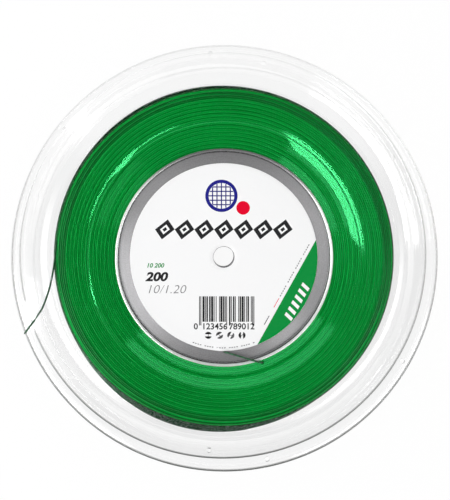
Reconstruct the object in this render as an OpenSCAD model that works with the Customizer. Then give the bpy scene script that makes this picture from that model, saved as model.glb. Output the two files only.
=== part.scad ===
// Reel of racket string: a moulded hub with a drum, two clear dished flanges that snap into it,
// a paper label, and the string wound on the drum in layers. The reel lies on its rear flange:
// +Z is its axis and points out of the labelled front, and z = 0 is the rear rim.

/* [Reel] */
// Diameter of both flanges
flange_d = 264; // [252:1:290]
// Width of the reel over its two rims
reel_w = 30; // [28:0.5:40]

/* [String] */
// Diameter of the string
string_d = 1.2; // [1:0.05:1.3]
// Turns that lie side by side in a full layer
turns_across = 12; // [9:1:13]
// Layers that run the full width of the drum
full_layers = 27; // [5:1:28]
// Layers wound on top of those, each one turn narrower than the last
crown_layers = 5; // [1:1:6]
// Angle up to which the grooves between turns are filled, as the turns settle into each other
groove = 17; // [5:1:30]

/* [Hub] */
// Diameter of the drum under the string
drum_d = 136.6; // [128:0.2:142]
// Wall of the drum
drum_wall = 1.2; // [1:0.1:2]
// Diameter of the spindle hole
bore_d = 13; // [8:0.5:20]
// Wall of the boss round the spindle hole
boss_wall = 3; // [2:0.5:6]
// Length of the boss, from the label's seat to its rear end
boss_l = 9; // [6:0.5:10]
// Height of the label's seat above the middle of the reel
seat_h = 3; // [2:0.1:4]
// Thickness of the hub's web
web_t = 2; // [1.5:0.1:3]
// Number of radial ribs behind the web
rib_count = 12; // [6:1:18]
// Thickness of each rib
rib_t = 1.6; // [1:0.1:2.5]
// Diameter of the ring rib halfway out
ring_rib_d = 76; // [50:1:100]

/* [Flanges] */
// Wall of the clear flanges
flange_wall = 1.2; // [1:0.1:1.6]
// Gap between the string and each flange at the drum
side_gap = 0.15; // [0.1:0.05:0.5]
// Wall of the collar that goes into the drum
collar_wall = 1; // [0.8:0.1:1.5]
// Gap all round between the collar and the drum
collar_gap = 0.1; // [0.05:0.05:0.2]
// Radius of the snap bead round the collar
snap_r = 0.4; // [0.2:0.1:0.5]
// Lead-in chamfer inside the ends of the drum
lead_in = 0.6; // [0.3:0.1:0.7]
// Radius of the rounded mouth of the hub recess
mouth_r = 2.2; // [1.5:0.1:3]
// Diameter of the flat land round the mouth of the recess
land_d = 146.8; // [140:0.2:152]
// Diameter at which the crowned inner part ends, in a shallow groove
crown_d = 176; // [168:1:190]
// Rise of the crowned inner part above the land
crown_rise = 0.2; // [0.1:0.05:0.4]
// Diameter at which the gently dished part ends and the shoulder begins
saucer_d = 217; // [206:1:220]
// Rise of the gently dished part
saucer_rise = 1.8; // [1:0.1:2.4]
// Diameter at which the shoulder turns steeper
dish_d = 228.4; // [224:0.2:236]
// Height of the steep last step up to the rim band
step_h = 2.2; // [1:0.1:3]
// Width of the sloping step
step_w = 3.8; // [2:0.2:6]
// Width of the rim bead
bead_w = 2.4; // [2:0.1:3]
// Height of the rim bead above the rim band
bead_rise = 0.5; // [0.3:0.1:1]
// Thickness of the rim bead
bead_t = 2.4; // [2:0.1:3]
// Radius of the rounded edges of the rim bead
bead_round = 0.6; // [0.3:0.1:0.9]

/* [Holes for the string's ends] */
// Diameter of the holes near the rim
rim_hole_d = 3; // [2.6:0.1:3.4]
// Distance of the spare holes from the flange's edge
rim_hole_inset = 5; // [4.6:0.1:8]
// Distance of the hole that holds the outer end from the flange's edge
anchor_inset = 7.5; // [7:0.1:8]
// Diameter of the hole beside the drum, for the inner end
hub_hole_d = 2.4; // [2.2:0.1:2.8]
// Distance of that hole's centre from the drum
hub_hole_gap = 1.5; // [1.4:0.1:1.8]

/* [Label] */
// Diameter of the label
label_d = 118.4; // [100:0.2:118.4]
// Thickness of the label
label_t = 0.2; // [0.1:0.05:0.3]
// Gap between the label's hole and the spindle hole
label_hole_gap = 0.3; // [0.2:0.1:0.6]

/* [Hidden] */

$fn = 96;
arc_steps = 5;      // straight runs in each rounded corner of a profile
tube_sides = 8;     // sides of the string's free ends
run_steps = 3;      // runs for each stretch between two points of a smooth curve or a route

middle = reel_w / 2;
flange_r = flange_d / 2;
drum_r = drum_d / 2;
bore_r = bore_d / 2;
string_r = string_d / 2;

// The collar goes into the drum with its gap, and its inside is the wall of the hub recess
drum_in_r = drum_r - drum_wall;
collar_r = drum_in_r - collar_gap;
recess_r = collar_r - collar_wall;

// Heights above the middle of the reel
winding_h = turns_across * string_d / 2;
inner_h = winding_h + side_gap;
face_h = inner_h + flange_wall;
band_h = middle - bead_rise;
dish_h = band_h - step_h;
saucer_h = face_h + saucer_rise;
snap_h = (seat_h + inner_h) / 2;

// Radii along a flange
land_r = land_d / 2;
crown_r = crown_d / 2;
saucer_r = saucer_d / 2;
dish_r = dish_d / 2;
band_r = dish_r + step_w;
bead_r = flange_r - bead_w;

// Angles of the spare holes near the rim, and of the holes that hold the string's two ends
spare_angles = [-30, -78, 141, 94];
anchor_angle = 198.3;
start_angle = -70;

// The route of the inner end: out of the winding through the hole beside the drum, over the mouth
// of the recess, and down on to the label's seat at the label's edge
start_route = [
    [24.3, -66.1, 18.6], [24.2, -65.9, 20.4], [24.1, -65.7, 22.2], [23.7, -65.5, 23.7], [22.9, -65.4, 24.7],
    [21.5, -65.0, 25.2], [20.0, -64.6, 24.9], [16.1, -63.7, 23.8], [10.3, -62.2, 22.1],
    [4.5, -60.8, 20.4], [1.6, -60.1, 19.3], [-0.2, -59.6, 18.7]
];

// The route of the outer end: off the last turn, out through the gap between the flanges, up through
// the anchor hole of the front flange and across its rim
tail_route = [
    [-105.5, 11.1, 18.6], [-105.9, 5.6, 18.6], [-106.5, 0, 18.7], [-107.3, -7, 19.2],
    [-108.6, -14.7, 20.3], [-110.9, -24, 22.6], [-113.8, -31.8, 25.2], [-116.1, -35.7, 26.8],
    [-117.2, -37.4, 27.3], [-117.9, -38.7, 28.3], [-118.5, -39.5, 29.5], [-119.6, -41, 30.4],
    [-121.3, -43.3, 30.65], [-123.6, -46.5, 30.7]
];

// Points on an arc from angle a to angle b, about a centre
function arc(centre, r, a, b) = [
    for (i = [0 : arc_steps])
        let (angle = a + (b - a) * i / arc_steps)
        centre + r * [cos(angle), sin(angle)]
];

// A smooth curve through the points of a list, with run_steps straight runs between each two
function point_at(route, i) =
    i < 0 ? 2 * route[0] - route[1]
    : i >= len(route) ? 2 * route[len(route) - 1] - route[len(route) - 2]
    : route[i];
function between(a, b, c, d, t) =
    0.5 * (2 * b + (c - a) * t + (2 * a - 5 * b + 4 * c - d) * t * t + (3 * b - a - 3 * c + d) * t * t * t);
function smooth(route) = concat(
    [for (i = [0 : len(route) - 2], s = [0 : run_steps - 1])
        between(point_at(route, i - 1), route[i], route[i + 1], point_at(route, i + 2), s / run_steps)],
    [route[len(route) - 1]]
);

// Shape of a flange's crowned part: share of its width, and share of its rise. It climbs off the land
// in a low step, runs nearly level, and rolls off into the groove at crown_r
crown_shape = [[0, 0], [0.15, 0.7], [0.35, 0.95], [0.55, 1], [0.75, 0.8], [0.9, 0.4], [0.97, 0.1], [1, 0]];
function crown_curve(lift) = [
    for (p = smooth(crown_shape))
        [land_r + p[0] * (crown_r - land_r), face_h + p[1] * crown_rise - lift]
];

function reversed(list) = [for (i = [len(list) - 1 : -1 : 0]) list[i]];

// Section of a flange, outwards from its collar: radius, and height above the middle of the reel
module flange_section() {
    outside = concat(
        [[recess_r, seat_h]],
        arc([recess_r + mouth_r, face_h - mouth_r], mouth_r, 180, 90),
        crown_curve(0),
        [[saucer_r, saucer_h], [dish_r, dish_h], [band_r, band_h], [bead_r - bead_rise, band_h]],
        arc([bead_r + bead_round, middle - bead_round], bead_round, 135, 90),
        arc([flange_r - bead_round, middle - bead_round], bead_round, 90, 0)
    );
    inside = concat(
        arc([flange_r - bead_round, middle - bead_t + bead_round], bead_round, 0, -90),
        [[bead_r, middle - bead_t], [bead_r - bead_rise, band_h - flange_wall]],
        [[band_r, band_h - flange_wall], [dish_r, dish_h - flange_wall]],
        [[saucer_r, saucer_h - flange_wall]],
        reversed(crown_curve(flange_wall)),
        [[collar_r + lead_in - collar_gap, inner_h]],
        [[collar_r, inner_h - lead_in + collar_gap]],
        arc([collar_r, snap_h], snap_r, 90, -90),
        [[collar_r, seat_h]]
    );
    polygon(concat(outside, inside));
}

// A hole through a flange at a radius and an angle
module string_hole(r, angle, d) {
    rotate([0, 0, angle])
        translate([r, 0, 0])
        cylinder(d = d, h = reel_w, $fn = 32);
}

// Both flanges are the same moulding. This one faces +Z, and its heights start at the middle of the reel
module flange() {
    difference() {
        rotate_extrude() flange_section();
        for (angle = spare_angles) string_hole(flange_r - rim_hole_inset, angle, rim_hole_d);
        string_hole(flange_r - anchor_inset, anchor_angle, rim_hole_d);
        string_hole(drum_r + hub_hole_gap, start_angle, hub_hole_d);
    }
}

module front_flange() {
    color([0.93, 0.95, 0.95, 0.35])
        translate([0, 0, middle])
        flange();
}

module rear_flange() {
    color([0.93, 0.95, 0.95, 0.35])
        translate([0, 0, middle])
        rotate([180, 0, 0])
        flange();
}

// Section of the drum, with the grooves and the lead-ins for the collars of the two flanges
module drum_section() {
    difference() {
        translate([drum_in_r, -inner_h]) square([drum_wall, 2 * inner_h]);
        for (side = [-1, 1]) {
            translate([collar_r, side * snap_h]) circle(r = snap_r + collar_gap, $fn = 24);
            polygon([
                [drum_in_r - collar_gap, side * (inner_h - lead_in - collar_gap)],
                [drum_in_r + lead_in, side * inner_h],
                [drum_in_r + lead_in, side * middle],
                [drum_in_r - collar_gap, side * middle]
            ]);
        }
    }
}

// The drum and the core inside it are one moulding
module hub_drum() {
    color([0.56, 0.56, 0.57])
        translate([0, 0, middle])
        rotate_extrude() drum_section();
}

// Section of the core's turned form: boss, web and ring rib
module core_section() {
    translate([bore_r, seat_h - boss_l]) square([boss_wall, boss_l]);
    translate([bore_r, seat_h - web_t]) square([drum_in_r - bore_r, web_t]);
    translate([(ring_rib_d - rib_t) / 2, -seat_h]) square([rib_t, 2 * seat_h - web_t / 2]);
}

module hub_core() {
    color([0.56, 0.56, 0.57])
        translate([0, 0, middle]) {
            rotate_extrude() core_section();
            intersection() {
                for (i = [0 : rib_count - 1])
                    rotate([0, 0, (i + 0.5) * 360 / rib_count])
                    translate([bore_r + boss_wall / 2, -rib_t / 2, -seat_h])
                    cube([drum_in_r - bore_r, rib_t, 2 * seat_h - web_t / 2]);
                translate([0, 0, -seat_h]) cylinder(r = drum_in_r, h = 2 * seat_h);
            }
        }
}

module front_label() {
    color("white")
        translate([0, 0, middle + seat_h])
        difference() {
            cylinder(d = label_d, h = label_t);
            translate([0, 0, -label_t]) cylinder(r = bore_r + label_hole_gap, h = 3 * label_t);
        }
}

// How many turns layer k has, counted from 0 at the drum, and the place of its middles
function turns_in(k) = turns_across - max(0, k - full_layers + 1);
function layer_r(k) = drum_r + (k + 0.5) * string_d;
function layer_h(k) = (turns_in(k) - 1) * string_r;

// The outline of the end turn of layer k. It runs on into the next layer's turn, or drops to it
function end_turn(k) =
    arc([layer_r(k), layer_h(k)], string_r, 180 - groove, turns_in(k + 1) < turns_in(k) ? 0 : groove);

// The outline of the last layer, over all its turns
function top_turns(k, n) = [
    for (turn = [0 : n - 1])
        each arc(
            [layer_r(k), layer_h(k) - turn * string_d], string_r,
            turn == 0 ? 180 - groove : 90 - groove,
            turn == n - 1 ? groove - 180 : groove - 90
        )
];

// Section of the winding, with the grooves between its turns
module winding_section() {
    last = full_layers + crown_layers - 1;
    side = concat(
        [[drum_r, layer_h(0) + string_r * sin(groove)]],
        [for (k = [0 : last - 1]) each end_turn(k)]
    );
    polygon(concat(
        side,
        top_turns(last, turns_in(last)),
        reversed([for (p = side) [p[0], -p[1]]])
    ));
}

module string_winding() {
    color([0.03, 0.45, 0.17])
        translate([0, 0, middle])
        rotate_extrude() winding_section();
}

function unit(v) = v / norm(v);
function direction(line, i) = unit(line[min(i + 1, len(line) - 1)] - line[max(i - 1, 0)]);
function square_to(v, axis) = unit(v - (v * axis) * axis);

// One sideways direction for each point of a line, carried along it without twisting
function carried(line) = [
    for (i = 0, side = square_to([0.1, 1, 0.3], direction(line, 0));
        i < len(line);
        i = i + 1, side = i < len(line) ? square_to(side, direction(line, i)) : side)
        side
];

// A round string of radius r along a route, as one closed solid
module string_along(route, r) {
    line = smooth(route);
    sides = carried(line);
    rings = [
        for (i = [0 : len(line) - 1])
            let (u = sides[i], v = cross(direction(line, i), u))
            for (j = [0 : tube_sides - 1])
                line[i] + r * (cos(360 * j / tube_sides) * u + sin(360 * j / tube_sides) * v)
    ];
    last = (len(line) - 1) * tube_sides;
    walls = [
        for (i = [0 : len(line) - 2], j = [0 : tube_sides - 1])
            let (a = i * tube_sides + j, b = i * tube_sides + (j + 1) % tube_sides)
            [a, a + tube_sides, b + tube_sides, b]
    ];
    ends = [
        [for (j = [0 : tube_sides - 1]) j],
        [for (j = [tube_sides - 1 : -1 : 0]) last + j]
    ];
    polyhedron(rings, concat(walls, ends));
}

module string_start() {
    color([0.02, 0.3, 0.12]) string_along(start_route, string_r);
}

module string_tail() {
    color([0.02, 0.3, 0.12]) string_along(tail_route, string_r);
}

hub_drum();
hub_core();
front_flange();
rear_flange();
front_label();
string_winding();
string_start();
string_tail();
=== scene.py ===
import math

import bmesh
import bpy
import numpy as np
from mathutils import Matrix, Vector


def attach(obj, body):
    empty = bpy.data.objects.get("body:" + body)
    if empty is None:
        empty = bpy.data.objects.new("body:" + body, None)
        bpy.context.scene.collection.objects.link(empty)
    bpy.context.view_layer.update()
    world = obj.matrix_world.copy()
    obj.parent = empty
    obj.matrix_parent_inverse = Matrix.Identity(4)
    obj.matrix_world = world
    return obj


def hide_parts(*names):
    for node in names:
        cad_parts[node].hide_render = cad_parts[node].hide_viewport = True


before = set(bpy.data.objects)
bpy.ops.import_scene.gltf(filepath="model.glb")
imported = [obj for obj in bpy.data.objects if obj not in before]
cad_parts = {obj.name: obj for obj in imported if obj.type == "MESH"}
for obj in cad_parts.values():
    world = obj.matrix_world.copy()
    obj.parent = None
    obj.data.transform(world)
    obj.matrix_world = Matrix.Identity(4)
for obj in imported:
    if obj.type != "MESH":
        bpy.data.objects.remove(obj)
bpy.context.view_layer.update()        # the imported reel: every piece below is built on its nodes

scene = bpy.context.scene
scene.view_settings.view_transform = "Standard"
MM = 0.001


# ---- Camera --------------------------------------------------------------------------------------
# A 67 mm lens straight above the reel and square to it, 0.57 m over the front rim. It stands a little
# up and to the left of the spindle, and its shift brings the reel back into the middle of the frame.
camera = bpy.data.objects.new("camera", bpy.data.cameras.new("camera"))
scene.collection.objects.link(camera)
camera.location = (-23.6 * MM, 44.8 * MM, 603.6 * MM)
camera.data.lens = 66.8
camera.data.sensor_width = 36
camera.data.shift_x = 0.0772
camera.data.shift_y = -0.128
camera.data.clip_start = 0.01
scene.camera = camera


# ---- The string's two free ends ------------------------------------------------------------------
# Coated multifilament string, 1.2 mm thick: a core of fine yarns wrapped in a spiral and dipped in
# clear green polyurethane. Both ends come through holes of the front flange and are just cut off.
STRING_R = 0.6 * MM
END_SIDES = 16           # sides of a free end's tube
ROUTE_RUNS = 12          # straight runs between two points of a route
START_ROUTE = [          # the inner end: up through the hole, over the hub's rim, to under the label
    (24.3, -66.1, 18.6), (24.2, -65.9, 20.4), (24.1, -65.7, 22.2), (23.7, -65.5, 23.7), (22.9, -65.4, 24.7),
    (21.5, -65.0, 25.2), (20.0, -64.6, 24.9), (16.1, -63.7, 23.8), (10.3, -62.2, 22.1),
    (4.5, -60.8, 20.4), (1.6, -60.1, 19.3), (-0.2, -59.6, 18.7),
]
TAIL_ROUTE = [           # the outer end: off the last turn, up through the anchor hole, over the rim
    (-105.5, 11.1, 18.6), (-105.9, 5.6, 18.6), (-106.5, 0, 18.7), (-107.3, -7, 19.2),
    (-108.6, -14.7, 20.3), (-110.9, -24, 22.6), (-113.8, -31.8, 25.2), (-116.1, -35.7, 26.8),
    (-117.2, -37.4, 27.3), (-117.9, -38.7, 28.3), (-118.5, -39.5, 29.5), (-119.6, -41, 30.4),
    (-121.3, -43.3, 30.65), (-123.6, -46.5, 30.7),
]


def smooth(points, runs):
    """A smooth curve through a list of points, with that many straight runs between each two."""
    p = np.array([2 * np.array(points[0]) - points[1], *points, 2 * np.array(points[-1]) - points[-2]], float)
    line = []
    for a, b, c, d in zip(p, p[1:], p[2:], p[3:]):
        for t in np.arange(runs) / runs:
            line.append(0.5 * (
                2 * b + (c - a) * t + (2 * a - 5 * b + 4 * c - d) * t**2 + (3 * b - a - 3 * c + d) * t**3
            ))
    return np.array([*line, p[-2]])


def new_object(name, mesh, *materials):
    """Links a mesh as an object that rides on the reel, smooth but for its sharp edges."""
    mesh.validate()
    mesh.shade_smooth()
    mesh.set_sharp_from_angle(angle=math.radians(35))
    obj = bpy.data.objects.new(name, mesh)
    scene.collection.objects.link(obj)
    for material in materials:
        mesh.materials.append(material)
    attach(obj, "root")
    return obj


def tube_mesh(name, line, radius, sides):
    """A closed round tube along a line, its ends a little rounded, with UVs in millimetres."""
    line = np.array(line, float)
    ahead = np.gradient(line, axis=0)
    ahead /= np.linalg.norm(ahead, axis=1)[:, None]
    side = np.array([0.1, 1.0, 0.3])
    run = np.concatenate([[0], np.cumsum(np.linalg.norm(np.diff(line, axis=0), axis=1))])
    edge = 0.25 * radius
    shrink = np.clip(np.minimum(run, run[-1] - run) / edge, 0, 1)
    bm = bmesh.new()
    uv = bm.loops.layers.uv.new("along")
    rings = []
    for i, (p, t) in enumerate(zip(line, ahead)):
        side = side - side.dot(t) * t
        side /= np.linalg.norm(side)
        up = np.cross(t, side)
        r = radius * (0.8 + 0.2 * math.sqrt(1 - (1 - shrink[i]) ** 2))
        rings.append([
            bm.verts.new(p + r * (math.cos(a) * side + math.sin(a) * up))
            for a in np.arange(sides) * 2 * math.pi / sides
        ])
    for i in range(len(rings) - 1):
        for j in range(sides):
            n = (j + 1) % sides
            face = bm.faces.new((rings[i][j], rings[i][n], rings[i + 1][n], rings[i + 1][j]))
            around = (j / sides, (j + 1) / sides, (j + 1) / sides, j / sides)
            along = (run[i], run[i], run[i + 1], run[i + 1])
            for loop, u, v in zip(face.loops, along, around):
                loop[uv].uv = (u / MM, v)
    bm.faces.new(reversed(rings[0]))
    bm.faces.new(rings[-1])
    bmesh.ops.recalc_face_normals(bm, faces=bm.faces)
    mesh = bpy.data.meshes.new(name)
    bm.to_mesh(mesh)
    bm.free()
    return mesh


def add(tree, kind, inputs=(), **settings):
    """Adds a node to a tree. An input is a value, or the output that feeds it."""
    node = tree.nodes.new(kind)
    for key, value in settings.items():
        setattr(node, key, value)
    for key, value in dict(inputs).items():
        if isinstance(value, bpy.types.NodeSocket):
            tree.links.new(value, node.inputs[key])
        else:
            node.inputs[key].default_value = value
    return node


def new_material(name, **values):
    """A material with one Principled shader, whose constant sockets are set here."""
    material = bpy.data.materials.new(name)
    material.use_nodes = True
    shader = material.node_tree.nodes["Principled BSDF"]
    for key, value in values.items():
        shader.inputs[key.replace("_", " ")].default_value = value
    return material, material.node_tree, shader


def calc(tree, operation, a, b=0.0, c=0.0, **settings):
    """One step of arithmetic on values or outputs."""
    return add(tree, "ShaderNodeMath", {0: a, 1: b, 2: c}, operation=operation, **settings).outputs[0]


def colour_mix(tree, factor, low, high):
    """Mixes two colours, each given as a value or an output."""
    node = tree.nodes.new("ShaderNodeMix")
    node.data_type = "RGBA"
    for index, value in ((0, factor), (6, low), (7, high)):
        if isinstance(value, bpy.types.NodeSocket):
            tree.links.new(value, node.inputs[index])
        else:
            node.inputs[index].default_value = value
    return node.outputs[2]


# Green polyurethane over spiral wrapped yarn. Where flecks fall on the ridges of the wrap the string is
# painted lighter: painted highlights of the clear coat
end_material, tree, shader = new_material(
    "string_end", Roughness=0.3, IOR=1.5, Coat_Weight=0.3, Coat_Roughness=0.1,
)
along = add(tree, "ShaderNodeUVMap", uv_map="along").outputs["UV"]
place = add(tree, "ShaderNodeMapping", {"Vector": along, "Scale": (0.55, 1.0, 1.0)})
ridges = add(tree, "ShaderNodeTexWave", {
    "Vector": place.outputs["Vector"], "Scale": 0.32, "Distortion": 0.6, "Detail": 1.0, "Detail Scale": 3.0,
}, bands_direction="DIAGONAL")
coat_glint_flecks = add(tree, "ShaderNodeTexNoise", {
    "Vector": add(tree, "ShaderNodeTexCoord").outputs["Object"], "Scale": 900.0, "Detail": 2.0,
})
tone = calc(tree, "MULTIPLY", ridges.outputs["Fac"], coat_glint_flecks.outputs["Fac"])
end_colour = colour_mix(tree, tone, (0.001, 0.045, 0.012, 1), (0.006, 0.17, 0.05, 1))
tree.links.new(end_colour, shader.inputs["Base Color"])
bump = add(tree, "ShaderNodeBump", {"Height": ridges.outputs["Fac"], "Strength": 0.5, "Distance": 0.05 * MM})
tree.links.new(bump.outputs["Normal"], shader.inputs["Normal"])

for name, route, far_end in (("string_start", START_ROUTE, "object"), ("string_tail", TAIL_ROUTE, "bare")):
    line = smooth(route, ROUTE_RUNS) * MM
    length = float(np.linalg.norm(np.diff(line, axis=0), axis=1).sum())
    end = new_object(name + "_strand", tube_mesh(name, line, STRING_R, END_SIDES), end_material)
    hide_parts(name)


# ---- Hub -----------------------------------------------------------------------------------------
# One moulding in polystyrene with a silver lacquer. Its seat for the label was spun in the mould, so
# the lacquer carries fine rings that stretch every reflection into a fan across them.
RIM_HIGHLIGHT_FROM, RIM_HIGHLIGHT_TO = 66.9 * MM, 67.1 * MM      # radius at which the painted highlight on the rim begins
RIM_SHADE_WAY = (0.09, 0.996, 0)                          # the way to the stretch of rim left dark, as painted shade


def from_axis(tree, place):
    """How far a place is from the reel's axis, and in which direction."""
    flat = add(tree, "ShaderNodeVectorMath", {0: place, 1: (1, 1, 0)}, operation="MULTIPLY").outputs[0]
    distance = add(tree, "ShaderNodeVectorMath", {0: flat}, operation="LENGTH").outputs["Value"]
    direction = add(tree, "ShaderNodeVectorMath", {0: flat}, operation="NORMALIZE").outputs[0]
    return distance, direction


def along_way(tree, direction, way):
    """How far a direction points the given way: 1 where it does, -1 where it points away."""
    return add(tree, "ShaderNodeVectorMath", {0: direction, 1: way}, operation="DOT_PRODUCT").outputs["Value"]


def ramp(tree, value, start, end, first=0.0, last=1.0, soft=True):
    """Goes from first to last while a value goes from start to a greater end, and keeps to them beyond."""
    return add(tree, "ShaderNodeMapRange", {
        "Value": value, "From Min": start, "From Max": end, "To Min": first, "To Max": last,
    }, interpolation_type="SMOOTHSTEP" if soft else "LINEAR").outputs["Result"]


hub_material, tree, shader = new_material(
    "silver_lacquer", Metallic=0.35, Roughness=0.46, Anisotropic=0.85, Anisotropic_Rotation=0.25,
)
place = add(tree, "ShaderNodeTexCoord").outputs["Object"]
radius, direction = from_axis(tree, place)
ring = add(tree, "ShaderNodeCombineXYZ", {"X": radius}).outputs[0]
rings = add(tree, "ShaderNodeTexNoise", {"Vector": ring, "Scale": 2600.0, "Detail": 3.0}).outputs["Fac"]
flakes = add(tree, "ShaderNodeTexNoise", {"Vector": place, "Scale": 1600.0, "Detail": 3.0}).outputs["Fac"]
grain = calc(tree, "MULTIPLY", rings, flakes)
lacquer = colour_mix(tree, grain, (0.142, 0.14, 0.144, 1), (0.43, 0.424, 0.435, 1))
# The drum's upper rim is painted bright, a painted highlight, but for a stretch at the top that is left dark
# as painted shade
toward_rim_shade = along_way(tree, direction, RIM_SHADE_WAY)
rim_shade_share = ramp(tree, toward_rim_shade, 0.45, 0.85, 1.0, 0.05)
painted_rim_highlight = calc(tree, "MULTIPLY", ramp(tree, radius, RIM_HIGHLIGHT_FROM, RIM_HIGHLIGHT_TO, soft=False), rim_shade_share)
lacquer = colour_mix(tree, painted_rim_highlight, lacquer, (0.93, 0.95, 0.93, 1))
tree.links.new(lacquer, shader.inputs["Base Color"])
bump = add(tree, "ShaderNodeBump", {"Height": flakes, "Strength": 0.25, "Distance": 0.02 * MM})
tree.links.new(bump.outputs["Normal"], shader.inputs["Normal"])
tangent = add(tree, "ShaderNodeTangent", direction_type="RADIAL", axis="Z")
tree.links.new(tangent.outputs["Tangent"], shader.inputs["Tangent"])
for name in ("hub_drum", "hub_core"):
    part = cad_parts[name]
    part.data.materials.clear()
    part.data.materials.append(hub_material)


# ---- Winding -------------------------------------------------------------------------------------
# About 200 m of string in 32 layers on the drum, the last five each one turn narrower. What shows are
# the end turns of every layer at both flanges and the turns of the last layer. Each wanders a little.
MIDDLE = 15 * MM         # height of the middle of the reel
DRUM_R = 68.3 * MM
TURNS_ACROSS = 12
FULL_LAYERS = 27
CROWN_LAYERS = 5
LAYERS = FULL_LAYERS + CROWN_LAYERS
END_H = (TURNS_ACROSS - 1) * STRING_R      # height of an end turn's middle over the middle of the reel
LAST_TURNS = TURNS_ACROSS - CROWN_LAYERS   # turns of the last layer
LAST_R = DRUM_R + (2 * LAYERS - 1) * STRING_R      # radius of the last layer's middle
LOOSE = 1.2 * MM         # looseness of the last turns, which stand off by about half to one and a half of it
SAG = 5.0 * MM           # sag at the bottom that the turns of the last layer share out
ROUND = 192              # straight runs in a full turn

turns_tree = bpy.data.node_groups.new("turns", "GeometryNodeTree")
turns_tree.interface.new_socket("Geometry", in_out="INPUT", socket_type="NodeSocketGeometry")
turns_tree.interface.new_socket("Geometry", in_out="OUTPUT", socket_type="NodeSocketGeometry")
for label, kind, value in (
    ("Turns", "NodeSocketInt", LAYERS),
    ("First Radius", "NodeSocketFloat", DRUM_R + STRING_R),
    ("Radius Step", "NodeSocketFloat", 2 * STRING_R),
    ("First Height", "NodeSocketFloat", END_H),
    ("Height Step", "NodeSocketFloat", 0.0),
    ("Narrow From", "NodeSocketInt", FULL_LAYERS - 1),
    ("Narrow Step", "NodeSocketFloat", STRING_R),
    ("Wander", "NodeSocketFloat", 0.2 * MM),
    ("Sink", "NodeSocketFloat", 0.2 * MM),
    ("Pair Sink", "NodeSocketFloat", 0.7 * MM),
    ("Side", "NodeSocketFloat", 1.0),
    ("String Radius", "NodeSocketFloat", STRING_R),
    ("Segments", "NodeSocketInt", ROUND),
    ("Sides", "NodeSocketInt", 10),
    ("Seed", "NodeSocketFloat", 0.0),
    ("First Number", "NodeSocketFloat", 0.0),
    ("Loose", "NodeSocketFloat", 0.0),
    ("Sag", "NodeSocketFloat", 0.0),
    ("Material", "NodeSocketMaterial", None),
):
    socket = turns_tree.interface.new_socket(label, in_out="INPUT", socket_type=kind)
    if value is not None:
        socket.default_value = value


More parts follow.
